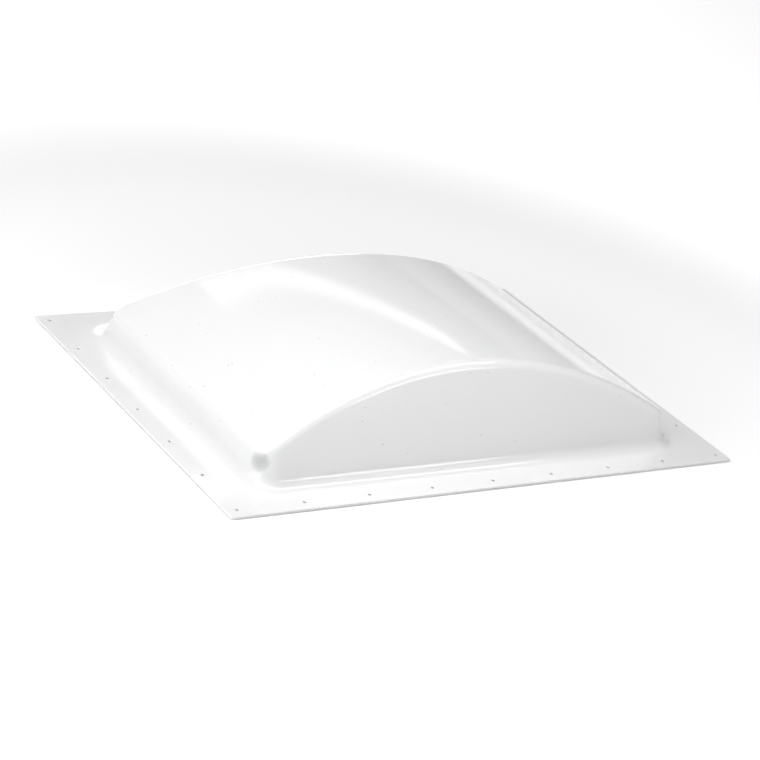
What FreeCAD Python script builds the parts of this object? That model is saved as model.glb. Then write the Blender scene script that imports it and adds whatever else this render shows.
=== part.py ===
# Roof opening cover for a caravan or motorhome: a thermoformed plastic dome with a
# wide drilled flange, bedded on four punched sealing strips.
#
# Frame: millimetres, +Z up. The origin is on the roof plane (underside of the
# sealing strips) at the centre of the opening. +X runs along the long side.
import FreeCAD, Part
import Sketcher
import math
import os

App = FreeCAD
C = Sketcher.Constraint
doc = App.newDocument("roof_opening_cover")

# ---------------------------------------------------------------- driving sizes
sheet = doc.addObject("Spreadsheet::Sheet", "Sizes")
ROWS = [
    ("flange_len", "647.7", "outer length of the flange, 25.5 in"),
    ("flange_wid", "444.5", "outer width of the flange, 17.5 in"),
    ("flange_corner", "2.0", "outer corner radius of the flange"),
    ("wall_thk", "2.5", "sheet thickness"),
    ("base_len", "533.0", "outer length of the dome, walls run down to the flange underside"),
    ("base_wid", "367.0", "outer width of the dome, walls run down to the flange underside"),
    ("vault_rad", "540.0", "outer radius of the arched roof"),
    ("crown_hgt", "104.3", "flange underside to outside of the crown"),
    ("side_lean", "1.0", "short side walls, degrees from upright"),
    ("end_lean", "23.6", "long end walls, degrees from upright"),
    ("plan_corner", "20.0", "outer radius of the dome's four upright corners"),
    ("crest_rad", "12.0", "outer radius where walls meet the arched roof"),
    ("root_rad", "17.0", "outer radius where walls meet the flange"),
    ("hole_dia", "4.0", "screw holes"),
    ("hole_inset", "12.7", "hole line in from the flange edges"),
    ("holes_long", "9", "holes along a long edge, corners included"),
    ("holes_short", "7", "holes along a short edge, corners included"),
    ("seal_thk", "1.0", "thickness of the sealing strips once screwed down"),
    ("seal_wid", "20.0", "width of the sealing strips"),
    ("seal_inset", "6.0", "sealing strips set back from the flange edge"),
    ("seal_hole", "5.0", "punched holes in the sealing strips"),
    ("seal_round", "0.3", "rounding along the sealing strips' edges"),
    # the inside of the sheet follows the outside at one sheet thickness
    ("inner_len", "=base_len - 2 * wall_thk / cos(side_lean * 1 deg)", "inside length"),
    ("inner_wid", "=base_wid - 2 * wall_thk / cos(end_lean * 1 deg)", "inside width"),
    ("inner_rad", "=vault_rad - wall_thk", "inside radius of the roof"),
    ("inner_crown", "=crown_hgt - wall_thk", "flange underside to inside of the crown"),
    ("inner_corner", "=plan_corner - wall_thk", "inside radius of the upright corners"),
    ("inner_crest", "=crest_rad - wall_thk", "inside radius of the crest"),
    ("under_root", "=root_rad + wall_thk", "underside radius where walls meet the flange"),
    ("pitch_long", "=(flange_len - 2 * hole_inset) / (holes_long - 1)", "hole pitch along a long edge"),
    ("pitch_short", "=(flange_wid - 2 * hole_inset) / (holes_short - 1)", "hole pitch along a short edge"),
    ("first_long", "=flange_len / 2 - hole_inset", "end holes of a long edge, from the middle"),
    ("first_wid", "=flange_wid / 2 - hole_inset", "hole line of a long edge, from the middle"),
    ("first_short", "=first_wid - pitch_short", "end holes of a short edge's own row, from the middle"),
    ("long_strip", "=flange_len - 2 * seal_inset", "length of the front and rear strips"),
    ("short_strip", "=flange_wid - 2 * seal_inset - 2 * seal_wid", "length of the left and right strips"),
    ("strip_line", "=hole_inset - seal_inset - seal_wid / 2", "hole line, out from a strip's middle"),
    ("strip_y", "=flange_wid / 2 - seal_inset - seal_wid / 2", "middle of the front and rear strips"),
    ("strip_x", "=flange_len / 2 - seal_inset - seal_wid / 2", "middle of the left and right strips"),
]
for row, (alias, cell, note) in enumerate(ROWS, start=1):
    sheet.set("A%d" % row, alias)
    sheet.set("B%d" % row, cell)
    sheet.set("C%d" % row, note)
    sheet.setAlias("B%d" % row, alias)
doc.recompute()


def size(alias):
    value = sheet.get(alias)
    return float(getattr(value, "Value", value))


def plane(body, role):
    return [o for o in body.Origin.OriginFeatures if o.Role == role][0]


def new_body(name):
    body = doc.addObject("PartDesign::Body", name)
    body.Label = name
    return body


def new_sketch(body, name, role):
    sk = body.newObject("Sketcher::SketchObject", name)
    sk.AttachmentSupport = [(plane(body, role), "")]
    sk.MapMode = "FlatFace"
    return sk


def drive(sk, name, constraint, expression):
    """Adds a constraint, names it, and binds it to the sheet."""
    n = sk.addConstraint(constraint)
    sk.renameConstraint(n, name)
    sk.setExpression("Constraints." + name, expression)


def loop(sk, points):
    """Closed loop of lines through the points; returns the first line's index."""
    first = sk.GeometryCount
    n = len(points)
    for k in range(n):
        (x0, y0), (x1, y1) = points[k], points[(k + 1) % n]
        sk.addGeometry(Part.LineSegment(App.Vector(x0, y0, 0), App.Vector(x1, y1, 0)), False)
    for k in range(n):
        sk.addConstraint(C("Coincident", first + k, 2, first + (k + 1) % n, 1))
    return first


def centred_rectangle(sk, len_expr, wid_expr, length, width):
    """Rectangle centred on the sketch origin, with both sizes driven."""
    x, y = length / 2, width / 2
    f = loop(sk, [(-x, -y), (x, -y), (x, y), (-x, y)])
    for k, kind in enumerate(("Horizontal", "Vertical", "Horizontal", "Vertical")):
        sk.addConstraint(C(kind, f + k))
    sk.addConstraint(C("Symmetric", f, 1, f + 1, 2, -1, 1))
    drive(sk, "length", C("DistanceX", f, 1, f, 2, length), len_expr)
    drive(sk, "width", C("DistanceY", f + 1, 1, f + 1, 2, width), wid_expr)
    return f


def edges_where(shape, test):
    return ["Edge%d" % (i + 1) for i, e in enumerate(shape.Edges) if test(e.BoundBox)]


def fillet(body, base, name, edges, expression):
    f = body.newObject("PartDesign::Fillet", name)
    f.Base = (base, edges)
    f.setExpression("Radius", expression)
    doc.recompute()
    return f


def vault(body, tag, length, width, radius, crown, corner, crest):
    """The dome as a solid standing on z = 0: an arch along X with two upright sides,
    both ends cut back to a lean, then the corners and the crest rounded. The last six
    arguments are aliases in the sheet."""
    a, b = size(length) / 2, size(width) / 2
    rad, top = size(radius), size(crown)
    side = math.tan(math.radians(size("side_lean")))
    xs = a
    for _ in range(60):  # where the leaning side meets the arch
        zs = top - rad + math.sqrt(rad * rad - xs * xs)
        xs = a - zs * side
    sk = new_sketch(body, tag + "_arch", "XZ_Plane")
    sk.addGeometry(Part.LineSegment(App.Vector(-a, 0, 0), App.Vector(a, 0, 0)), False)
    sk.addGeometry(Part.LineSegment(App.Vector(a, 0, 0), App.Vector(xs, zs, 0)), False)
    turn = math.atan2(zs - top + rad, xs)
    circle = Part.Circle(App.Vector(0, top - rad, 0), App.Vector(0, 0, 1), rad)
    sk.addGeometry(Part.ArcOfCircle(circle, turn, math.pi - turn), False)
    sk.addGeometry(Part.LineSegment(App.Vector(-xs, zs, 0), App.Vector(-a, 0, 0)), False)
    sk.addConstraint(C("Coincident", 0, 2, 1, 1))
    sk.addConstraint(C("Coincident", 1, 2, 2, 1))
    sk.addConstraint(C("Coincident", 2, 2, 3, 1))
    sk.addConstraint(C("Coincident", 3, 2, 0, 1))
    sk.addConstraint(C("Symmetric", 0, 1, 0, 2, -1, 1))
    sk.addConstraint(C("Horizontal", 0))
    sk.addConstraint(C("PointOnObject", 2, 3, -2))
    sk.addConstraint(C("Symmetric", 2, 1, 2, 2, -2))
    drive(sk, "length", C("DistanceX", 0, 1, 0, 2, 2 * a), "Sizes." + length)
    drive(sk, "radius", C("Radius", 2, rad), "Sizes." + radius)
    drive(sk, "drop", C("DistanceY", 2, 3, -1, 1, rad - top), "Sizes.%s - Sizes.%s" % (radius, crown))
    drive(sk, "lean", C("Angle", 1, math.radians(90 + size("side_lean"))), "(90 + Sizes.side_lean) * 1 deg")
    doc.recompute()
    block = body.newObject("PartDesign::Pad", tag + "_block")
    block.Profile = sk
    block.Midplane = True
    block.setExpression("Length", "Sizes." + width)
    sk.Visibility = False
    doc.recompute()

    # both long ends lean in: a wedge is cut from each
    over = top + 20.0
    run = over * math.tan(math.radians(size("end_lean")))
    sk = new_sketch(body, tag + "_wedges", "YZ_Plane")
    for way, word in ((1, "rear"), (-1, "front")):
        f = loop(sk, [(way * b, 0), (way * (b + 5), 0), (way * (b + 5), over), (way * (b - run), over)])
        sk.addConstraint(C("Horizontal", f))
        sk.addConstraint(C("Vertical", f + 1))
        sk.addConstraint(C("Horizontal", f + 2))
        sk.addConstraint(C("PointOnObject", f, 1, -1))
        half = (-1, 1, f, 1) if way > 0 else (f, 1, -1, 1)
        past = (f, 1, f, 2) if way > 0 else (f, 2, f, 1)
        back = (f + 2, 2, f, 1) if way > 0 else (f, 1, f + 2, 2)
        drive(sk, word + "_half", C("DistanceX", *half, b), "Sizes.%s / 2" % width)
        sk.addConstraint(C("DistanceX", *past, 5.0))
        drive(sk, word + "_over", C("DistanceY", f, 2, f + 1, 2, over), "Sizes.%s + 20" % crown)
        drive(
            sk,
            word + "_run",
            C("DistanceX", *back, run),
            "(Sizes.%s + 20) * tan(Sizes.end_lean * 1 deg)" % crown,
        )
    doc.recompute()
    ends = body.newObject("PartDesign::Pocket", tag + "_ends")
    ends.Profile = sk
    ends.Type = 1
    ends.Midplane = True
    sk.Visibility = False
    doc.recompute()
    if not ends.Shape.Volume < block.Shape.Volume - 1000:
        raise SystemExit("the end wedges cut nothing from " + tag)

    uprights = edges_where(
        ends.Shape, lambda q: q.ZLength > 5 and q.XLength < 40 and q.YLength < 40 and q.ZMin < 1
    )
    assert len(uprights) == 4, uprights
    corners = fillet(body, ends, tag + "_corners", uprights, "Sizes." + corner)
    rim = edges_where(corners.Shape, lambda q: q.ZMin > 12)
    assert len(rim) == 8, rim
    return fillet(body, corners, tag + "_crest", rim, "Sizes." + crest)


def hole_walls(shape, radius):
    return sum(
        1 for f in shape.Faces if isinstance(f.Surface, Part.Cylinder) and abs(f.Surface.Radius - radius) < 1e-6
    )


def hole_row(body, name, x, y, axis, span, count, dia, depth):
    """One hole through the sheet, repeated along an origin axis. x and y are pairs of
    (sign, alias) for the first hole, the rest are expressions on the sheet."""
    sk = new_sketch(body, name + "_spot", "XY_Plane")
    px = x[0] * size(x[1])
    py = y[0] * size(y[1])
    ring = sk.addGeometry(Part.Circle(App.Vector(px, py, 0), App.Vector(0, 0, 1), size(dia) / 2), False)
    at_x = (-1, 1, ring, 3) if px > 0 else (ring, 3, -1, 1)
    at_y = (-1, 1, ring, 3) if py > 0 else (ring, 3, -1, 1)
    drive(sk, "across", C("DistanceX", *at_x, abs(px)), "abs(Sizes.%s)" % x[1])
    drive(sk, "along", C("DistanceY", *at_y, abs(py)), "abs(Sizes.%s)" % y[1])
    drive(sk, "diameter", C("Diameter", ring, size(dia)), "Sizes." + dia)
    doc.recompute()
    before = body.Tip.Shape
    drill = body.newObject("PartDesign::Pocket", name + "_first")
    drill.Profile = sk
    drill.Type = 0
    drill.Reversed = True  # upwards from the sketch, into the sheet
    drill.setExpression("Length", depth)
    sk.Visibility = False
    doc.recompute()
    row = body.newObject("PartDesign::LinearPattern", name)
    row.Originals = [drill]
    row.Direction = (plane(body, axis), [""])
    row.setExpression("Length", span)
    row.setExpression("Occurrences", count)
    body.Tip = row
    doc.recompute()
    radius = size(dia) / 2
    made = hole_walls(row.Shape, radius) - hole_walls(before, radius)
    if not (row.Shape.Volume < before.Volume and made == row.Occurrences):
        raise SystemExit("%s: %d holes drilled, %d wanted" % (name, made, row.Occurrences))
    return row


# ------------------------------------------------------------------ outer_dome
form = new_body("inside_form")  # the space under the sheet, a tool and not a piece
vault(form, "inside", "inner_len", "inner_wid", "inner_rad", "inner_crown", "inner_corner", "inner_crest")

dome = new_body("outer_dome")
solid_dome = vault(dome, "outside", "base_len", "base_wid", "vault_rad", "crown_hgt", "plan_corner", "crest_rad")

sk = new_sketch(dome, "flange_outline", "XY_Plane")
centred_rectangle(sk, "Sizes.flange_len", "Sizes.flange_wid", size("flange_len"), size("flange_wid"))
doc.recompute()
flange = dome.newObject("PartDesign::Pad", "flange")
flange.Profile = sk
flange.setExpression("Length", "Sizes.wall_thk")
sk.Visibility = False
doc.recompute()

outer = edges_where(flange.Shape, lambda q: q.XLength < 0.1 and q.YLength < 0.1 and q.ZMax < 4)
flange_corners = fillet(dome, flange, "flange_corners", outer, "Sizes.flange_corner")

thk = size("wall_thk")
foot = edges_where(
    flange_corners.Shape,
    lambda q: abs(q.ZMin - thk) < 1e-3
    and abs(q.ZMax - thk) < 1e-3
    and max(abs(q.XMin), abs(q.XMax)) < size("base_len") / 2 + 1
    and max(abs(q.YMin), abs(q.YMax)) < size("base_wid") / 2 + 1,
)
assert len(foot) == 8, foot
root = fillet(dome, flange_corners, "root", foot, "Sizes.root_rad")

hollow = dome.newObject("PartDesign::Boolean", "hollow")
hollow.Type = 1
hollow.setObjects([form])
doc.recompute()
mouth = edges_where(
    hollow.Shape,
    lambda q: abs(q.ZMin) < 1e-3
    and abs(q.ZMax) < 1e-3
    and max(abs(q.XMin), abs(q.XMax)) < size("base_len") / 2 - 0.5
    and max(abs(q.YMin), abs(q.YMax)) < size("base_wid") / 2 - 0.5,
)
assert len(mouth) == 8, mouth
under = fillet(dome, hollow, "under_root", mouth, "Sizes.under_root")


for name, way in (("front_holes", -1), ("rear_holes", 1)):
    hole_row(
        dome,
        name,
        (-1, "first_long"),
        (way, "first_wid"),
        "X_Axis",
        "(Sizes.holes_long - 1) * Sizes.pitch_long",
        "Sizes.holes_long",
        "hole_dia",
        "Sizes.wall_thk",
    )
for name, way in (("left_holes", -1), ("right_holes", 1)):
    hole_row(
        dome,
        name,
        (way, "first_long"),
        (-1, "first_short"),
        "Y_Axis",
        "(Sizes.holes_short - 3) * Sizes.pitch_short",
        "Sizes.holes_short - 2",
        "hole_dia",
        "Sizes.wall_thk",
    )
dome.setExpression("Placement.Base.z", "Sizes.seal_thk")
doc.recompute()


# --------------------------------------------------------------- sealing strips
def strip(name, length, width, way_x, way_y):
    """A flat strip, sized along X and Y by two aliases, its long edges rounded."""
    body = new_body(name)
    sk = new_sketch(body, name + "_outline", "XY_Plane")
    centred_rectangle(sk, "Sizes." + length, "Sizes." + width, size(length), size(width))
    doc.recompute()
    pad = body.newObject("PartDesign::Pad", name + "_band")
    pad.Profile = sk
    pad.setExpression("Length", "Sizes.seal_thk")
    sk.Visibility = False
    doc.recompute()
    lengthwise = edges_where(
        pad.Shape, lambda q: (q.XLength > 100 or q.YLength > 100) and q.ZLength < 0.1
    )
    assert len(lengthwise) == 4, lengthwise
    fillet(body, pad, name + "_edges", lengthwise, "Sizes.seal_round")
    if way_y:
        hole_row(
            body,
            name + "_holes",
            (-1, "first_long"),
            (way_y, "strip_line"),
            "X_Axis",
            "(Sizes.holes_long - 1) * Sizes.pitch_long",
            "Sizes.holes_long",
            "seal_hole",
            "Sizes.seal_thk",
        )
        body.setExpression("Placement.Base.y", "%d * Sizes.strip_y" % way_y)
    else:
        hole_row(
            body,
            name + "_holes",
            (way_x, "strip_line"),
            (-1, "first_short"),
            "Y_Axis",
            "(Sizes.holes_short - 3) * Sizes.pitch_short",
            "Sizes.holes_short - 2",
            "seal_hole",
            "Sizes.seal_thk",
        )
        body.setExpression("Placement.Base.x", "%d * Sizes.strip_x" % way_x)
    doc.recompute()
    return body


pieces = [
    dome,
    strip("front_seal_strip", "long_strip", "seal_wid", 0, -1),
    strip("rear_seal_strip", "long_strip", "seal_wid", 0, 1),
    strip("left_seal_strip", "seal_wid", "short_strip", -1, 0),
    strip("right_seal_strip", "seal_wid", "short_strip", 1, 0),
]

# ------------------------------------------------------------------ check, write
doc.recompute()
for o in doc.Objects:
    if any(word in o.State for word in ("Invalid", "Error")):
        raise SystemExit("%s is %s" % (o.Name, o.State))
for body in pieces:
    if body.Shape.isNull() or not body.Shape.isValid() or len(body.Shape.Solids) != 1:
        raise SystemExit("%s has no single valid solid" % body.Label)

os.makedirs("parts", exist_ok=True)
for body in pieces:
    body.Shape.exportStep("parts/%s.step" % body.Label)
    q = body.Shape.optimalBoundingBox(False)
    print(
        "%-17s %9.0f mm3  x %8.2f %8.2f  y %8.2f %8.2f  z %7.2f %7.2f"
        % (body.Label, body.Shape.Volume, q.XMin, q.XMax, q.YMin, q.YMax, q.ZMin, q.ZMax)
    )
for k, one in enumerate(pieces):
    for two in pieces[k + 1 :]:
        both = one.Shape.common(two.Shape).Volume
        if both > 0.01:
            raise SystemExit("%s and %s overlap by %.3f mm3" % (one.Label, two.Label, both))
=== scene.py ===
"""Roof opening cover: one glossy white thermoformed dome with a drilled flange, on four
sealing strips. Metres, in the CAD frame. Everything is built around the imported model."""

import math

import bpy
import numpy as np
from mathutils import Matrix, Vector


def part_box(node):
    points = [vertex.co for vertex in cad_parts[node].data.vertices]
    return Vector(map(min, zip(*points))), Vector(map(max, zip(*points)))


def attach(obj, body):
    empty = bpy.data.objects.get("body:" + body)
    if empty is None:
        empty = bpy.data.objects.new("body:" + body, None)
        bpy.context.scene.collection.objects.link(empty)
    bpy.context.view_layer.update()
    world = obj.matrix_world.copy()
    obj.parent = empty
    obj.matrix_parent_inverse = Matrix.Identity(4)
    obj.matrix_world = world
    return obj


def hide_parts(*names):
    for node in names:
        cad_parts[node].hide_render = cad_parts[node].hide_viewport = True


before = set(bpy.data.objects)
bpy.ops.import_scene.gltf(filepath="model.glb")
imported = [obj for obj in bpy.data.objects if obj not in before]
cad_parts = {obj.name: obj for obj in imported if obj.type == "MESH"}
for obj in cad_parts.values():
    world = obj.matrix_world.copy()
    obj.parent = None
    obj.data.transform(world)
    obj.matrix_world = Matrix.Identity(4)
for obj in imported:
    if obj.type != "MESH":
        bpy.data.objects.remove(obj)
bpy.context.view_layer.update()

MM = 0.001


# ----------------------------------------------------------------------------- sizes
# millimetres; heights inside the dome functions count from the flange underside
FL, FW = 647.7, 444.5          # flange
THK = 2.5                      # sheet
A, B = 533.0 / 2, 367.0 / 2    # dome walls carried down to the flange underside
RV, CROWN = 540.0, 104.3       # arch radius, crown height
SIDE, END = math.radians(1.0), math.radians(23.6)
RHO, RC, RR = 20.0, 12.0, 17.0 # upright corners, crest, root
HOLE, INSET = 2.0, 12.7       # hole radius, hole line
NX, NY = 9, 7
SEAL_T, SEAL_W, SEAL_IN, SEAL_HOLE = 1.0, 20.0, 6.0, 2.5

ZC = CROWN - RV

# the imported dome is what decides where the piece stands
low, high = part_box("outer_dome")
Z0 = low.z / MM                # flange underside
assert abs((high.x - low.x) / MM - FL) < 0.2 and abs((high.y - low.y) / MM - FW) < 0.2
assert abs((high.z - low.z) / MM - CROWN) < 0.3


# --------------------------------------------------------------------- small helpers
def unit(v):
    return v / np.linalg.norm(v, axis=-1, keepdims=True)


def slerp(p, q, k):
    """Between unit vectors p and q, k from 0 to 1 (broadcast)."""
    d = np.clip(np.sum(p * q, axis=-1, keepdims=True), -1, 1)
    om = np.maximum(np.arccos(d), 1e-9)
    return (np.sin((1 - k) * om) * p + np.sin(k * om) * q) / np.sin(om)


def wave(x, y):
    """How far the free flange lifts off a true plane, in mm. Nothing at the foot of the
    dome and over the sealing strips' inner edge, most along the trimmed edges."""
    ex = np.clip((np.abs(x) - 285.0) / (FL / 2 - 285.0), 0, 1)
    ey = np.clip((np.abs(y) - 197.0) / (FW / 2 - 197.0), 0, 1)
    e = 1 - (1 - ex) * (1 - ey)
    e = e * e * (3 - 2 * e)
    s = (
        0.34 * np.sin(x * 0.0202 + 0.7)
        + 0.27 * np.sin(y * 0.0287 - 1.1)
        + 0.20 * np.sin(x * 0.0511 + y * 0.031 + 2.0)
        + 0.13 * np.sin(y * 0.071 - x * 0.023 + 0.4)
    )
    return 0.35 * e * (0.5 + 0.5 * np.tanh(1.6 * s))


def wave_normal(x, y, sign=1.0):
    h = 0.5
    gx = (wave(x + h, y) - wave(x - h, y)) / (2 * h)
    gy = (wave(x, y + h) - wave(x, y - h)) / (2 * h)
    return unit(np.stack([-gx * sign, -gy * sign, np.full_like(gx, sign)], -1))


class Build:
    """Collects vertices, normals and quads, then welds what coincides."""

    def __init__(self):
        self.v, self.n, self.f, self.m = [], [], [], []
        self.count = 0

    def grid(self, P, N, mat=0, closed=False, flip=False):
        """P, N are (rows, cols, 3)."""
        r, c = P.shape[:2]
        base = self.count
        self.v.append(P.reshape(-1, 3))
        self.n.append(N.reshape(-1, 3))
        self.count += r * c
        i = np.arange(r - 1)[:, None]
        j = np.arange(c if closed else c - 1)[None, :]
        k = (j + 1) % c
        a = base + i * c + j
        b = base + i * c + k
        d = base + (i + 1) * c + k
        e = base + (i + 1) * c + j
        q = np.stack([a, b, d, e], -1).reshape(-1, 4)
        if flip:
            q = q[:, ::-1]
        self.f.append(q)
        self.m.append(np.full(len(q), mat, int))

    def mesh(self, name, weld=2e-4):
        v = np.concatenate(self.v)
        n = np.concatenate(self.n)
        f = np.concatenate(self.f)
        m = np.concatenate(self.m)
        key = np.round(v / weld).astype(np.int64)
        _, first, back = np.unique(key, axis=0, return_index=True, return_inverse=True)
        back = back.reshape(-1)
        nn = np.zeros((len(first), 3))
        np.add.at(nn, back, n)
        nn = unit(nn)
        v = v[first]
        f = back[f]
        keep = []
        for q in f:
            s = []
            for k in q:
                if not s or s[-1] != k:
                    s.append(int(k))
            if len(s) > 1 and s[0] == s[-1]:
                s.pop()
            keep.append(s)
        good = [k for k, s in enumerate(keep) if len(set(s)) >= 3 and len(set(s)) == len(s)]
        me = bpy.data.meshes.new(name)
        me.from_pydata((v * MM).tolist(), [], [keep[k] for k in good])
        me.polygons.foreach_set("material_index", m[good].astype(np.int32))
        me.polygons.foreach_set("use_smooth", np.ones(len(me.polygons), bool))
        me.update()
        me.validate()
        me.normals_split_custom_set_from_vertices(nn.tolist())
        me.update()
        o = bpy.data.objects.new(name, me)
        bpy.context.scene.collection.objects.link(o)
        return o


# ----------------------------------------------------- the flange's own grid of lines
CELL = 2 * INSET
ACROSS = np.array([0, 3.6, 7.2, 10.0, 12.7, 15.4, 18.2, 21.8, 25.4])  # inner line to edge
M = len(ACROSS) - 1


def edge_lines(half, n_holes, fill):
    """Grid lines along one edge, corner cells included, and the holes' first indices."""
    holes = np.linspace(-(half - INSET), half - INSET, n_holes)
    lines, starts = [], []
    for k, c in enumerate(holes):
        if k == 0:
            cell = -half + (CELL - ACROSS[::-1])
        elif k == n_holes - 1:
            cell = half - CELL + ACROSS
        else:
            cell = c - INSET + (ACROSS if c > 0 else CELL - ACROSS[::-1])
        if lines:
            gap = np.linspace(lines[-1], cell[0], fill + 1)
            lines += gap[1:-1].tolist()
        starts.append(len(lines))
        lines += cell.tolist()
    return np.array(lines), starts


LX, SX = edge_lines(FL / 2, NX, 12)
LY, SY = edge_lines(FW / 2, NY, 10)
IX = LX[M : len(LX) - M]      # the lines that reach the inner rectangle
IY = LY[M : len(LY) - M]


# -------------------------------------------------------------------- the dome's ring
n_s0 = np.array([math.cos(SIDE), 0, math.sin(SIDE)])
n_e0 = np.array([0, math.cos(END), math.sin(END)])
LS = A - RHO / math.cos(SIDE)
LH = B - RHO / math.cos(END)


def ring_sample(px, py):
    """For a point of the inner rectangle's first quadrant: base point, ruling direction
    and outward normal of the wall there."""
    hx, hy = IX[-1], IY[-1]
    if py >= hy - 1e-6 and px < hx:
        if px <= LS:
            base = [px, B - RHO * math.sin(END) ** 2 / math.cos(END), RHO * math.sin(END)]
            return base, [-math.tan(SIDE) * px / LS, -math.tan(END), 1.0], n_e0
        th = 0.5 * (px - LS) / (hx - LS)
    elif py < hy - 1e-6:
        if py <= LH:
            base = [A - RHO * math.sin(SIDE) ** 2 / math.cos(SIDE), py, RHO * math.sin(SIDE)]
            return base, [-math.tan(SIDE), -math.tan(END) * py / LH, 1.0], n_s0
        th = 1 - 0.5 * (py - LH) / (hy - LH)
    else:
        th = 0.5
    n = slerp(n_e0[None], n_s0[None], th)[0]
    base = np.array([LS, LH, 0]) + RHO * n
    return base, [-math.tan(SIDE), -math.tan(END), 1.0], n


def rectangle(xs, ys):
    """Once round the rectangle, anticlockwise seen from above."""
    pts = [(x, ys[0]) for x in xs[:-1]]
    pts += [(xs[-1], y) for y in ys[:-1]]
    pts += [(x, ys[-1]) for x in xs[::-1][:-1]]
    pts += [(xs[0], y) for y in ys[::-1][:-1]]
    return np.array(pts)


RECT = rectangle(IX, IY)
base, rule, wall_n = [], [], []
for x, y in RECT:
    sx, sy = (1 if x >= 0 else -1), (1 if y >= 0 else -1)
    p, d, n = ring_sample(abs(x), abs(y))
    s = np.array([sx, sy, 1.0])
    base.append(np.array(p) * s)
    rule.append(np.array(d) * s)
    wall_n.append(np.array(n) * s)
base, rule, wall_n = np.array(base), np.array(rule), np.array(wall_n)
UP = np.array([[0, 0, 1.0]])

# root: rolling ball between the flange top and the wall
s_root = THK + RR - RR * wall_n[:, 2] - base[:, 2]
c_root = base + s_root[:, None] * rule + RR * wall_n
# crest: rolling ball inside the wall and inside the arch
q0 = base - RC * wall_n
qa = rule[:, 0] ** 2 + 1
qb = 2 * (q0[:, 0] * rule[:, 0] + (q0[:, 2] - ZC))
qc = q0[:, 0] ** 2 + (q0[:, 2] - ZC) ** 2 - (RV - RC) ** 2
s_crest = (-qb + np.sqrt(qb * qb - 4 * qa * qc)) / (2 * qa)
c_crest = q0 + s_crest[:, None] * rule
vault_n = np.stack([c_crest[:, 0], 0 * c_crest[:, 0], c_crest[:, 2] - ZC], -1) / (RV - RC)

rows_p, rows_n = [], []


def row(p, n):
    rows_p.append(p)
    rows_n.append(n)


# flange, from the inner rectangle to the root
foot = c_root - RR * UP
rect3 = np.column_stack([RECT, np.full(len(RECT), THK)])
for k in np.linspace(0, 1, 6)[:-1]:
    row(rect3 * (1 - k) + foot * k, np.repeat(UP, len(RECT), 0))
for k in np.linspace(0, 1, 13):
    n = slerp(np.repeat(UP, len(RECT), 0), wall_n, k)
    row(c_root - RR * n, n)
wall_lo = c_root - RR * wall_n
wall_hi = c_crest + RC * wall_n
for k in np.linspace(0, 1, 17)[1:-1]:
    row(wall_lo * (1 - k) + wall_hi * k, wall_n)
for k in np.linspace(0, 1, 11):
    n = slerp(wall_n, vault_n, k)
    row(c_crest + RC * n, n)
RING_P, RING_N = np.array(rows_p), np.array(rows_n)

# the arch inside the crest: a four-sided patch, then dropped on to the arch
nx, ny = len(IX), len(IY)
last = RING_P[-1]
south = last[:nx]
east = last[nx - 1 : nx - 1 + ny]
north = last[nx + ny - 2 : 2 * nx + ny - 2][::-1]
west = np.concatenate([last[2 * nx + ny - 3 :], last[:1]])[::-1]


def chord(p):
    d = np.concatenate([[0], np.cumsum(np.linalg.norm(np.diff(p, axis=0), axis=1))])
    return d / d[-1]


u0, u1 = chord(south), chord(north)
v0, v1 = chord(west), chord(east)
U = 0.5 * (u0 + u1)[None, :, None]
W = 0.5 * (v0 + v1)[:, None, None]
patch = (
    (1 - W) * south[None] + W * north[None] + (1 - U) * west[:, None] + U * east[:, None]
    - ((1 - U) * (1 - W) * south[0] + U * (1 - W) * south[-1] + (1 - U) * W * north[0] + U * W * north[-1])
)
patch[..., 2] = ZC + np.sqrt(RV * RV - patch[..., 0] ** 2)
patch_n = np.stack([patch[..., 0], 0 * patch[..., 0], patch[..., 2] - ZC], -1) / RV


def lift(P, N=None, sign=1.0):
    """Puts dome points in the row frame, and lets the flange wave."""
    Q = P.copy()
    Q[..., 2] += Z0 + wave(P[..., 0], P[..., 1]) * (np.abs(P[..., 2]) < THK + 0.01)
    if N is None:
        return Q
    flat = np.abs(np.abs(N[..., 2]) - 1) < 1e-9
    NN = N.copy()
    wn = wave_normal(P[..., 0], P[..., 1], sign)
    NN[flat] = wn[flat]
    return Q, NN


# -------------------------------------------------------------- outer_dome, both skins
dome = Build()
EDGE_T, EDGE_B = 0.55, 0.35    # eased edges of the trimmed sheet


def skin(top):
    sign = 1.0 if top else -1.0
    if top:
        P, N, V, VN = RING_P, RING_N, patch, patch_n
    else:
        # the sheet keeps its thickness on the flange and walls and thins towards the crown
        thin = np.clip((RING_P[..., 2] - 30) / 75, 0, 1)
        P = RING_P - (THK - 0.35 * thin)[..., None] * RING_N
        N = -RING_N
        thin = np.clip((patch[..., 2] - 30) / 75, 0, 1)
        V = patch - (THK - 0.35 * thin)[..., None] * patch_n
        VN = -patch_n
    Q, QN = lift(P, N, sign)
    dome.grid(Q, QN, closed=True, flip=not top)
    Q, QN = lift(V, VN, sign)
    dome.grid(Q, QN, flip=not top)


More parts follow.
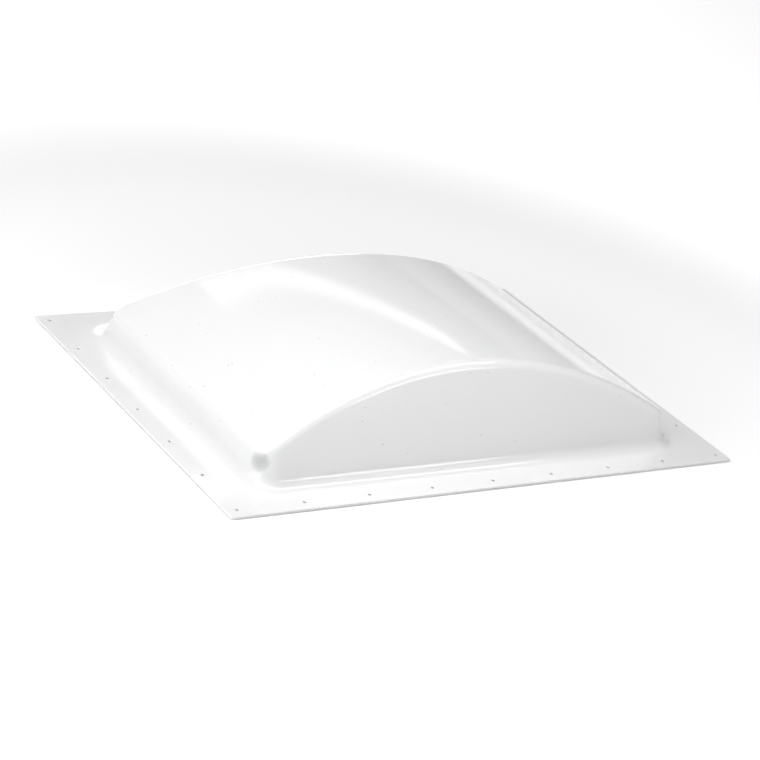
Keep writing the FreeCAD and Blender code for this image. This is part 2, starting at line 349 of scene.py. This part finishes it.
def flange_frame(top):
    """The band outside the inner rectangle, with its holes."""
    sign = 1.0 if top else -1.0
    z = THK if top else 0.0
    ease = EDGE_T if top else EDGE_B

    def put(X, Y, mat=0, flip=False):
        P = np.stack([X, Y, np.full_like(X, z)], -1)
        N = np.zeros_like(P)
        N[..., 2] = sign
        Q, QN = lift(P, N, sign)
        dome.grid(Q, QN, mat, flip=flip != (not top))

    def squeeze(X, Y):
        """The outermost line gives way to the eased edge."""
        X = np.clip(X, -(FL / 2 - ease), FL / 2 - ease)
        Y = np.clip(Y, -(FW / 2 - ease), FW / 2 - ease)
        cut = 2.0 * (1 - math.sqrt(0.5)) * 0.9
        corner = (np.abs(np.abs(X) - (FL / 2 - ease)) < 1e-6) & (np.abs(np.abs(Y) - (FW / 2 - ease)) < 1e-6)
        X = np.where(corner, X - np.sign(X) * cut, X)
        Y = np.where(corner, Y - np.sign(Y) * cut, Y)
        return X, Y

    def cell(xs, ys, cx, cy):
        """One square with a round hole: rings from the square to the hole."""
        ring = rectangle(xs, ys)
        ang = np.arctan2(ring[:, 1] - cy, ring[:, 0] - cx)
        rx, ry = squeeze(ring[:, 0], ring[:, 1])
        rim = HOLE + (0.30 if top else 0.15)
        X, Y = [], []
        for k in (0, 0.3, 0.55, 0.75, 0.9, 1):
            X.append(rx * (1 - k) + (cx + rim * np.cos(ang)) * k)
            Y.append(ry * (1 - k) + (cy + rim * np.sin(ang)) * k)
        X, Y = np.array(X), np.array(Y)
        P = np.stack([X, Y, np.full_like(X, z)], -1)
        N = np.zeros_like(P)
        N[..., 2] = sign
        Q, QN = lift(P, N, sign)
        dome.grid(Q, QN, 0, closed=True, flip=not top)

    hx = np.linspace(-(FL / 2 - INSET), FL / 2 - INSET, NX)
    hy = np.linspace(-(FW / 2 - INSET), FW / 2 - INSET, NY)
    for side in (-1, 1):
        ys = (FW / 2 - CELL + ACROSS) * side
        ys = ys if side > 0 else ys[::-1]
        for k in range(NX):
            cell(LX[SX[k] : SX[k] + M + 1], ys, hx[k], side * (FW / 2 - INSET))
            if k + 1 < NX:
                X, Y = np.meshgrid(LX[SX[k] + M : SX[k + 1] + 1], ys)
                put(*squeeze(X, Y))
        xs = (FL / 2 - CELL + ACROSS) * side
        xs = xs if side > 0 else xs[::-1]
        for k in range(NY):
            if 0 < k < NY - 1:
                cell(xs, LY[SY[k] : SY[k] + M + 1], side * (FL / 2 - INSET), hy[k])
            if k + 1 < NY:
                X, Y = np.meshgrid(xs, LY[SY[k] + M : SY[k + 1] + 1])
                put(*squeeze(X, Y))
    return hx, hy


def hole_walls(hx, hy):
    places = [(x, s * (FW / 2 - INSET)) for x in hx for s in (-1, 1)]
    places += [(s * (FL / 2 - INSET), y) for y in hy[1:-1] for s in (-1, 1)]
    for cx, cy in places:
        i = int(np.argmin(np.abs(hx - cx))) if abs(abs(cy) - (FW / 2 - INSET)) < 1e-6 else None
        if i is not None:
            xs = LX[SX[i] : SX[i] + M + 1]
            ys = (FW / 2 - CELL + ACROSS) * np.sign(cy)
            ys = ys if cy > 0 else ys[::-1]
        else:
            j = int(np.argmin(np.abs(hy - cy)))
            ys = LY[SY[j] : SY[j] + M + 1]
            xs = (FL / 2 - CELL + ACROSS) * np.sign(cx)
            xs = xs if cx > 0 else xs[::-1]
        ring = rectangle(xs, ys)
        ang = np.arctan2(ring[:, 1] - cy, ring[:, 0] - cx)
        out = np.stack([np.cos(ang), np.sin(ang), 0 * ang], -1)
        prof = []  # radius, height, how far the normal points up
        for k in np.linspace(0, 1, 4):
            a = k * math.pi / 2
            prof.append((HOLE + 0.30 - 0.30 * math.sin(a), THK - 0.30 + 0.30 * math.cos(a), math.cos(a)))
        prof.append((HOLE + 0.02, THK * 0.5, 0))
        for k in np.linspace(0, 1, 3):
            a = k * math.pi / 2
            prof.append((HOLE + 0.15 - 0.15 * math.cos(a), 0.15 - 0.15 * math.sin(a), -math.sin(a)))
        P, N = [], []
        for r, z, up in prof:
            p = np.stack([cx + r * np.cos(ang), cy + r * np.sin(ang), np.full_like(ang, z)], -1)
            w = math.sqrt(max(0, 1 - up * up))
            P.append(p)
            N.append(-out * w + UP * up)
        P, N = np.array(P), np.array(N)
        Q = P.copy()
        Q[..., 2] += Z0 + wave(P[..., 0], P[..., 1])
        dome.grid(Q, N, 1, closed=True)


def outer_edge():
    """Eased top edge, sawn face, eased bottom edge."""
    xs = LX.copy()
    ys = LY.copy()
    loop = rectangle(xs, ys)
    sx, sy = np.sign(loop[:, 0]), np.sign(loop[:, 1])
    on_x = np.abs(np.abs(loop[:, 0]) - FL / 2) < 1e-6
    on_y = np.abs(np.abs(loop[:, 1]) - FW / 2) < 1e-6
    both = on_x & on_y
    out = np.stack([on_x * sx, on_y * sy, 0 * sx], -1).astype(float)
    out = unit(out)
    prof = []  # inset, height, up
    for k in np.linspace(0, 1, 5):
        a = k * math.pi / 2
        prof.append((EDGE_T * (1 - math.sin(a)), THK - EDGE_T * (1 - math.cos(a)), math.cos(a)))
    for h in (0.66, 0.33):
        prof.append((0.0, EDGE_B + (THK - EDGE_T - EDGE_B) * h, 0.0))
    for k in np.linspace(0, 1, 4):
        a = k * math.pi / 2
        prof.append((EDGE_B * (1 - math.cos(a)), EDGE_B * (1 - math.sin(a)), -math.sin(a)))
    P, N = [], []
    for inset, z, up in prof:
        x = np.where(on_x, sx * (FL / 2 - inset), loop[:, 0])
        y = np.where(on_y, sy * (FW / 2 - inset), loop[:, 1])
        x = np.clip(x, -(FL / 2 - inset), FL / 2 - inset)
        y = np.clip(y, -(FW / 2 - inset), FW / 2 - inset)
        cut = 2.0 * (1 - math.sqrt(0.5)) * 0.9
        x = np.where(both, x - sx * cut, x)
        y = np.where(both, y - sy * cut, y)
        w = math.sqrt(max(0.0, 1 - up * up))
        P.append(np.stack([x, y, np.full_like(x, z)], -1))
        N.append(out * w + UP * up)
    P, N = np.array(P), np.array(N)
    Q = P.copy()
    Q[..., 2] += Z0 + wave(P[..., 0], P[..., 1])
    dome.grid(Q, N, 1, closed=True, flip=True)


skin(True)
skin(False)
hx, hy = flange_frame(True)
flange_frame(False)
hole_walls(hx, hy)
outer_edge()
dome_obj = dome.mesh("outer_dome_moulding")


# ------------------------------------------------------------------- sealing strips
def seal(name, lo, hi, holes, place):
    """A squeezed butyl strip. Lengthwise it runs from lo to hi; across, 0 is the edge
    towards the flange's trimmed edge. place(l, c) gives the plan position."""
    b = Build()
    LB = []  # lengthwise lines, with a window of M lines round every hole
    starts = []
    for h in holes:
        a, z = max(lo, h - 9.0), min(hi, h + 9.0)
        win = np.concatenate([np.linspace(a, h, 5)[:-1], np.linspace(h, z, 5)])
        if LB:
            LB += np.linspace(LB[-1], win[0], 13)[1:-1].tolist()
        elif a > lo + 1e-6:
            LB += np.linspace(lo, win[0], 8)[:-1].tolist()
        starts.append(len(LB))
        LB += win.tolist()
    if LB[-1] < hi - 1e-6:
        LB += np.linspace(LB[-1], hi, 8)[1:].tolist()
    L = np.array(LB)
    hc = INSET - SEAL_IN
    CR = np.concatenate([np.linspace(0, hc, 5)[:-1], np.linspace(hc, SEAL_W, 5)])

    def squeezed(l, c):
        """Pressed out round the screws, pulled in a little between them."""
        near = np.zeros_like(l)
        for h in holes:
            near = np.maximum(near, np.exp(-(((l - h) / 17.0) ** 2)))
        draw = 0.55 * (1 - near) + 0.12 * np.sin(l * 0.19 + c) * (1 - near)
        k = (c - SEAL_W / 2) / (SEAL_W / 2)
        return c - k * np.abs(k) * np.maximum(draw, 0)

    BULGE = 0.7

    def point(l, c, up):
        """up is 0 at the roof, 1 under the flange."""
        mid = 0.5 * (lo + hi)
        inner_l = mid + (l - mid) * (1 - BULGE / (0.5 * (hi - lo)))
        x, y = place(inner_l, squeezed(l, BULGE + c * (SEAL_W - 2 * BULGE) / SEAL_W))
        top = SEAL_T + wave(x, y)
        return np.stack([x, y, top * up], -1)

    def normals(P, way):
        N = np.zeros_like(P)
        N[..., 2] = way
        return N

    # which way round place() runs decides the facing
    p0 = np.array(place(0.0, 0.0))
    px = np.array(place(1.0, 0.0)) - p0
    py = np.array(place(0.0, 1.0)) - p0
    turn = px[0] * py[1] - px[1] * py[0] < 0
    for up in (1, 0):
        inside = set()
        for s in starts:
            inside |= set(range(s, s + M))
        j = 0
        while j < len(L) - 1:
            if j in inside:
                ring = rectangle(L[j : j + M + 1], CR)
                h = holes[starts.index(j)]
                # angles from the hole, so the ring lines run straight to the rim
                ang = np.arctan2(ring[:, 1] - hc, ring[:, 0] - h)
                rows = []
                for k in (0, 0.35, 0.65, 0.85, 1):
                    rows.append(
                        point(
                            ring[:, 0] * (1 - k) + (h + SEAL_HOLE * np.cos(ang)) * k,
                            ring[:, 1] * (1 - k) + (hc + SEAL_HOLE * np.sin(ang)) * k,
                            up,
                        )
                    )
                P = np.array(rows)
                b.grid(P, normals(P, 1 if up else -1), closed=True, flip=turn != (up == 0))
                if up:
                    rim = P[-1]
                    low_rim = rim.copy()
                    low_rim[:, 2] = 0
                    mid_rim = 0.5 * (rim + low_rim)
                    c0 = rim[:, :2].mean(0)
                    N = np.zeros((3, len(rim), 3))
                    N[:, :, :2] = c0 - rim[None, :, :2]
                    b.grid(np.array([rim, mid_rim, low_rim]), unit(N), closed=True, flip=turn)
                j += M
            else:
                k = j
                while k < len(L) - 1 and k not in inside:
                    k += 1
                X, Y = np.meshgrid(L[j : k + 1], CR)
                P = point(X, Y, up)
                b.grid(P, normals(P, 1 if up else -1), flip=turn != (up == 0))
                j = k
    # the bulged side all round
    loop = rectangle(L, CR)
    ol = np.where(np.abs(loop[:, 0] - lo) < 1e-6, -1.0, np.where(np.abs(loop[:, 0] - hi) < 1e-6, 1.0, 0.0))
    oc = np.where(loop[:, 1] < 1e-6, -1.0, np.where(np.abs(loop[:, 1] - SEAL_W) < 1e-6, 1.0, 0.0))
    dx = px[0] * ol + py[0] * oc
    dy = px[1] * ol + py[1] * oc
    D = unit(np.stack([dx, dy, 0 * dx], -1))
    T = point(loop[:, 0], loop[:, 1], 1)
    rows, norms = [], []
    for k in np.linspace(0, 1, 9):
        a = math.pi / 2 - k * math.pi
        p = T + D * BULGE * math.cos(a) * 0.98
        p[:, 2] = T[:, 2] * (0.5 + 0.5 * math.sin(a))
        rows.append(p)
        norms.append(D * math.cos(a) + UP * math.sin(a))
    b.grid(np.array(rows), np.array(norms), closed=True, flip=not turn)
    return b.mesh(name)


SY0 = FW / 2 - SEAL_IN
SX0 = FL / 2 - SEAL_IN
seals = []
for word, s in (("front", -1), ("rear", 1)):
    o = seal(word + "_seal_bead", -SX0, SX0, list(hx), lambda l, c, s=s: (l, s * (SY0 - c)))
    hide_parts(word + "_seal_strip")
    seals.append(o)
for word, s in (("left", -1), ("right", 1)):
    e = SY0 - SEAL_W
    o = seal(word + "_seal_bead", -e, e, list(hy[1:-1]), lambda l, c, s=s: (s * (SX0 - c), l))
    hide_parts(word + "_seal_strip")
    seals.append(o)

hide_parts("outer_dome")
for o in [dome_obj] + seals:
    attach(o, "root")


# ------------------------------------------------------------------------ materials
def material(name):
    m = bpy.data.materials.new(name)
    m.use_nodes = True
    nt = m.node_tree
    nt.nodes.clear()
    out = nt.nodes.new("ShaderNodeOutputMaterial")
    bsdf = nt.nodes.new("ShaderNodeBsdfPrincipled")
    nt.links.new(bsdf.outputs[0], out.inputs[0])
    tc = nt.nodes.new("ShaderNodeTexCoord")
    return m, nt, bsdf, tc


def noise(nt, tc, scale, detail=3.0, rough=0.55, stretch=None, dims="3D"):
    n = nt.nodes.new("ShaderNodeTexNoise")
    n.noise_dimensions = dims
    n.inputs["Scale"].default_value = scale
    n.inputs["Detail"].default_value = detail
    n.inputs["Roughness"].default_value = rough
    if stretch:
        mp = nt.nodes.new("ShaderNodeMapping")
        mp.inputs["Scale"].default_value = stretch[:3]
        if len(stretch) > 3:
            mp.inputs["Rotation"].default_value = (0, 0, stretch[3])
        nt.links.new(tc.outputs["Object"], mp.inputs[0])
        nt.links.new(mp.outputs[0], n.inputs["Vector"])
    else:
        nt.links.new(tc.outputs["Object"], n.inputs["Vector"])
    return n


def ramp(nt, src, stops, interpolation="LINEAR"):
    r = nt.nodes.new("ShaderNodeValToRGB")
    r.color_ramp.interpolation = interpolation
    e = r.color_ramp.elements
    while len(e) < len(stops):
        e.new(0.5)
    for k, (pos, val) in enumerate(stops):
        e[k].position = pos
        e[k].color = (*val, 1) if isinstance(val, tuple) else (val, val, val, 1)
    nt.links.new(src, r.inputs[0])
    return r


def mixrgb(nt, fac, a, b, kind="MIX"):
    m = nt.nodes.new("ShaderNodeMix")
    m.data_type = "RGBA"
    m.blend_type = kind
    for sock, val in ((m.inputs["Factor"], fac), (m.inputs[6], a), (m.inputs[7], b)):
        if hasattr(val, "links") or isinstance(val, bpy.types.NodeSocket):
            nt.links.new(val, sock)
        elif isinstance(val, (int, float)):
            sock.default_value = val
        else:
            sock.default_value = (*val, 1)
    return m.outputs[2]


def maths(nt, op, a, b=None):
    m = nt.nodes.new("ShaderNodeMath")
    m.operation = op
    for k, val in enumerate((a, b)):
        if val is None:
            continue
        if isinstance(val, (int, float)):
            m.inputs[k].default_value = val
        else:
            nt.links.new(val, m.inputs[k])
    return m.outputs[0]


# glossy white sheet
# centre of the painted shade on the front-left upright corner
PAINTED_SHADE_AT = (-(A - 1.0) * MM, -(B - 21.0) * MM, (Z0 + THK + 23.0) * MM)
plastic, nt, bsdf, tc = material("moulded_white_plastic")
body = ramp(nt, noise(nt, tc, 3.1, 3).outputs[0], [(0.3, (0.855, 0.857, 0.858)), (0.7, (0.885, 0.886, 0.886))])
# dust: sparse grey specks of two sizes
specks = nt.nodes.new("ShaderNodeTexVoronoi")
specks.inputs["Scale"].default_value = 72
nt.links.new(tc.outputs["Object"], specks.inputs["Vector"])
speck_size = ramp(nt, specks.outputs["Distance"], [(0.045, 1.0), (0.075, 0.0)])
speck_pick = ramp(nt, specks.outputs["Color"], [(0.46, 0.0), (0.54, 1.0)])
speck_a = maths(nt, "MULTIPLY", speck_size.outputs[0], speck_pick.outputs[0])
grit = nt.nodes.new("ShaderNodeTexVoronoi")
grit.inputs["Scale"].default_value = 210
nt.links.new(tc.outputs["Object"], grit.inputs["Vector"])
grit_size = ramp(nt, grit.outputs["Distance"], [(0.060, 1.0), (0.110, 0.0)])
grit_pick = ramp(nt, grit.outputs["Color"], [(0.56, 0.0), (0.64, 1.0)])
grit_where = ramp(nt, noise(nt, tc, 5.5, 2).outputs[0], [(0.48, 0.0), (0.62, 1.0)])
speck_b = maths(nt, "MULTIPLY", maths(nt, "MULTIPLY", grit_size.outputs[0], grit_pick.outputs[0]), grit_where.outputs[0])
dust = maths(nt, "MAXIMUM", speck_a, maths(nt, "MULTIPLY", speck_b, 0.6))
# painted shade: the front-left upright corner is greyed, standing in for the shade and dark reflection it sits in
away = nt.nodes.new("ShaderNodeVectorMath")
away.operation = "DISTANCE"
nt.links.new(tc.outputs["Object"], away.inputs[0])
away.inputs[1].default_value = PAINTED_SHADE_AT
wobble = maths(nt, "MULTIPLY", noise(nt, tc, 120, 2).outputs[0], 0.006)
painted_corner_shade = ramp(nt, maths(nt, "ADD", away.outputs["Value"], wobble), [(0.006, 1.0), (0.011, 0.6), (0.016, 0.0)], "EASE")
sheet = mixrgb(nt, maths(nt, "MULTIPLY", painted_corner_shade.outputs[0], 0.9), body.outputs[0], (0.52, 0.525, 0.53))
col = mixrgb(nt, maths(nt, "MULTIPLY", dust, 0.55), sheet, (0.30, 0.30, 0.29))
nt.links.new(col, bsdf.inputs["Base Color"])
# gloss with handling haze and rubbed patches
haze = ramp(nt, noise(nt, tc, 7.5, 5, 0.6).outputs[0], [(0.35, 0.045), (0.60, 0.07), (0.78, 0.14)])
rub = noise(nt, tc, 30, 6, 0.65, stretch=(1.0, 7.0, 1.0, 0.6))
rub_r = ramp(nt, rub.outputs[0], [(0.62, 0.0), (0.80, 0.14)])
rough = maths(nt, "ADD", haze.outputs[0], rub_r.outputs[0])
rough = maths(nt, "ADD", rough, maths(nt, "MULTIPLY", dust, 0.3))
nt.links.new(rough, bsdf.inputs["Roughness"])
bsdf.inputs["IOR"].default_value = 1.49
bsdf.inputs["Subsurface Weight"].default_value = 0.25
bsdf.inputs["Subsurface Radius"].default_value = (0.006, 0.006, 0.0055)
bsdf.inputs["Subsurface Scale"].default_value = 0.6
# sheet texture: a long soft undulation, a fine orange peel, and the dust itself
b1 = nt.nodes.new("ShaderNodeBump")
b1.inputs["Strength"].default_value = 0.12
b1.inputs["Distance"].default_value = 0.0012
nt.links.new(noise(nt, tc, 9, 2, 0.4).outputs[0], b1.inputs["Height"])
b2 = nt.nodes.new("ShaderNodeBump")
b2.inputs["Strength"].default_value = 0.06
b2.inputs["Distance"].default_value = 0.0003
nt.links.new(noise(nt, tc, 260, 2, 0.5).outputs[0], b2.inputs["Height"])
nt.links.new(b1.outputs[0], b2.inputs["Normal"])
b3 = nt.nodes.new("ShaderNodeBump")
b3.inputs["Strength"].default_value = 0.35
b3.inputs["Distance"].default_value = 0.0003
nt.links.new(dust, b3.inputs["Height"])
nt.links.new(b2.outputs[0], b3.inputs["Normal"])
nt.links.new(b3.outputs[0], bsdf.inputs["Normal"])

# the trimmed edge and the drilled holes: sawn, matt, a little grey
sawn, nt, bsdf, tc = material("trimmed_sheet_edge")
saw = noise(nt, tc, 900, 3, 0.6, stretch=(1.0, 1.0, 0.12))
c = ramp(nt, saw.outputs[0], [(0.35, (0.80, 0.80, 0.80)), (0.65, (0.90, 0.90, 0.90))])
nt.links.new(c.outputs[0], bsdf.inputs["Base Color"])
r = ramp(nt, noise(nt, tc, 400, 2).outputs[0], [(0.3, 0.45), (0.7, 0.68)])
nt.links.new(r.outputs[0], bsdf.inputs["Roughness"])
b = nt.nodes.new("ShaderNodeBump")
b.inputs["Strength"].default_value = 0.5
b.inputs["Distance"].default_value = 0.0002
nt.links.new(saw.outputs[0], b.inputs["Height"])
nt.links.new(b.outputs[0], bsdf.inputs["Normal"])

# butyl
butyl, nt, bsdf, tc = material("pale_butyl_strip")
g = noise(nt, tc, 45, 5, 0.6)
c = ramp(nt, g.outputs[0], [(0.30, (0.66, 0.65, 0.62)), (0.55, (0.73, 0.72, 0.69)), (0.80, (0.78, 0.77, 0.74))])
nt.links.new(c.outputs[0], bsdf.inputs["Base Color"])
r = ramp(nt, noise(nt, tc, 110, 3).outputs[0], [(0.3, 0.50), (0.7, 0.78)])
nt.links.new(r.outputs[0], bsdf.inputs["Roughness"])
b = nt.nodes.new("ShaderNodeBump")
b.inputs["Strength"].default_value = 0.5
b.inputs["Distance"].default_value = 0.0006
nt.links.new(noise(nt, tc, 130, 4, 0.6).outputs[0], b.inputs["Height"])
nt.links.new(b.outputs[0], bsdf.inputs["Normal"])

dome_obj.data.materials.append(plastic)
dome_obj.data.materials.append(sawn)
for o in seals:
    o.data.materials.append(butyl)
for name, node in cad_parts.items():
    node.data.materials.clear()
    node.data.materials.append(plastic if name == "outer_dome" else butyl)


# ----------------------------------------------------------------- floor and backdrop
GLOW = 0.58


def floor_material():
    """Matt white acrylic with a painted glow, as if lit a little from below like a light table; the glow is weakest
    near the object.
    """
    m, nt, bsdf, tc = material("studio_floor")
    c = ramp(nt, noise(nt, tc, 1.4, 3).outputs[0], [(0.3, 0.93), (0.7, 0.95)])
    nt.links.new(c.outputs[0], bsdf.inputs["Base Color"])
    r = ramp(nt, noise(nt, tc, 6, 2).outputs[0], [(0.3, 0.7), (0.7, 0.8)])
    nt.links.new(r.outputs[0], bsdf.inputs["Roughness"])
    bsdf.inputs["Specular IOR Level"].default_value = 0.1
    # painted light: the floor glows, graded by distance from the object
    far = nt.nodes.new("ShaderNodeVectorMath")
    far.operation = "LENGTH"
    nt.links.new(tc.outputs["Object"], far.inputs[0])
    # metres times 0.4: none under the object, most a metre away, none at the horizon
    g = ramp(nt, maths(nt, "MULTIPLY", far.outputs["Value"], 0.4),
             [(0.10, 0.16), (0.24, 0.36), (0.40, 0.95), (0.52, 1.0), (1.0, 1.0)], "EASE")
    nt.links.new(g.outputs[0], bsdf.inputs["Emission Color"])
    bsdf.inputs["Emission Strength"].default_value = GLOW
    return m


me = bpy.data.meshes.new("floor")
S = 14.0
me.from_pydata([(-S, -S, 0), (S, -S, 0), (S, S, 0), (-S, S, 0)], [], [(0, 1, 2, 3)])
floor = bpy.data.objects.new("studio_floor", me)
bpy.context.scene.collection.objects.link(floor)
me.materials.append(floor_material())


# ---------------------------------------------------------------------------- camera
flange_top = (Z0 + THK) * MM
right = (0.8217179, -0.53005213, 0.20934284)
up = (0.06737002, 0.45510855, 0.88788371)
ahead = (0.56589837, 0.71548651, -0.40968047)
place = (-1.48998, -1.87012, 1.08192 + flange_top)
cam = bpy.data.cameras.new("camera")
cam_obj = bpy.data.objects.new("camera", cam)
bpy.context.scene.collection.objects.link(cam_obj)
cam_obj.matrix_world = Matrix(
    [[right[k], up[k], -ahead[k], place[k]] for k in range(3)] + [[0, 0, 0, 1]]
)
cam.sensor_fit = "HORIZONTAL"
cam.sensor_width = 36.0
cam.lens = 36.0 * 2380.98 / 760.0
cam.clip_start, cam.clip_end = 0.05, 60.0
bpy.context.scene.camera = cam_obj


# ---------------------------------------------------------------------------- lights
def panel(name, at, aim, size, power, along=None):
    """A soft box at `at` that faces `aim`; its long side lies along `along`."""
    d = bpy.data.lights.new(name, "AREA")
    d.shape = "RECTANGLE"
    d.size, d.size_y = size
    d.energy = power
    o = bpy.data.objects.new(name, d)
    bpy.context.scene.collection.objects.link(o)
    z = (Vector(at) - Vector(aim)).normalized()
    x = Vector(along) if along else Vector((0, 0, 1)).cross(z)
    x = (x - z * x.dot(z)).normalized()
    y = z.cross(x)
    o.matrix_world = Matrix([[x[k], y[k], z[k], at[k]] for k in range(3)] + [[0, 0, 0, 1]])
    return o


# overhead, a long edge across the view: the front crest and the root catch it as a line
across = (1.0, 0.23, 0.0)
panel("crest_left", (0.45, -0.47, 2.2), (0.45, -0.47, 0), (0.9, 0.36), 12.5, across)
panel("crest_right", (1.35, -0.26, 2.2), (1.35, -0.26, 0), (0.9, 0.36), 7.5, across)
# low at the front right: the bright streak along the foot of the front wall
panel("foot_streak", (0.81, -1.29, 0.76), (-0.15, -0.19, 0.02), (0.38, 0.36), 2.2)
panel("foot_glow", (0.80, -0.85, 1.10), (0, -0.2, 0.03), (0.35, 0.22), 0.2)
# high at the back: the faint bright line that runs over the roof
panel("roof_line", (1.25, 2.6, 1.86), (0, 0, 0.1), (2.0, 0.10), 0.8, (2.1, 0.0, -0.57))
# two soft boxes close above the near left half
panel("near_left", (-0.75, -0.25, 1.05), (-0.3, -0.1, 0), (0.45, 0.45), 3.3)
panel("near_mid", (-0.25, -0.25, 1.05), (-0.1, -0.1, 0), (0.45, 0.45), 4.5)
# the left wall of light
panel("left_low_front", (-2.4, -0.5, 0.6), (0, -0.15, 0.1), (1.0, 1.0), 12.5)
panel("left_low_back", (-2.4, 0.5, 0.6), (0, 0.15, 0.1), (1.0, 1.0), 6.0)
panel("left_high_mid", (-2.4, 0.5, 1.6), (0, 0.15, 0.1), (1.0, 1.0), 5.2)
panel("left_high_back", (-2.4, 1.5, 1.6), (0, 0.45, 0.1), (1.0, 1.0), 6.7)
# behind
panel("back_mid", (0.0, 2.6, 0.6), (0, 0, 0.1), (1.1, 1.1), 9.0)
panel("back_right", (1.2, 2.6, 0.6), (0.6, 0, 0.1), (1.1, 1.1), 9.0)
# low and wide at the back right: evens out the roof where it turns away
panel("horizon", (2.5, 2.6, 0.5), (0.2, 0, 0.05), (2.2, 0.9), 2.0)

world = bpy.data.worlds.new("studio")
bpy.context.scene.world = world
world.use_nodes = True
world.node_tree.nodes["Background"].inputs[0].default_value = (1, 1, 1, 1)
world.node_tree.nodes["Background"].inputs[1].default_value = 0.03

view = bpy.context.scene.view_settings
view.view_transform = "Standard"
view.look = "None"
view.exposure = 0.0
view.gamma = 1.0
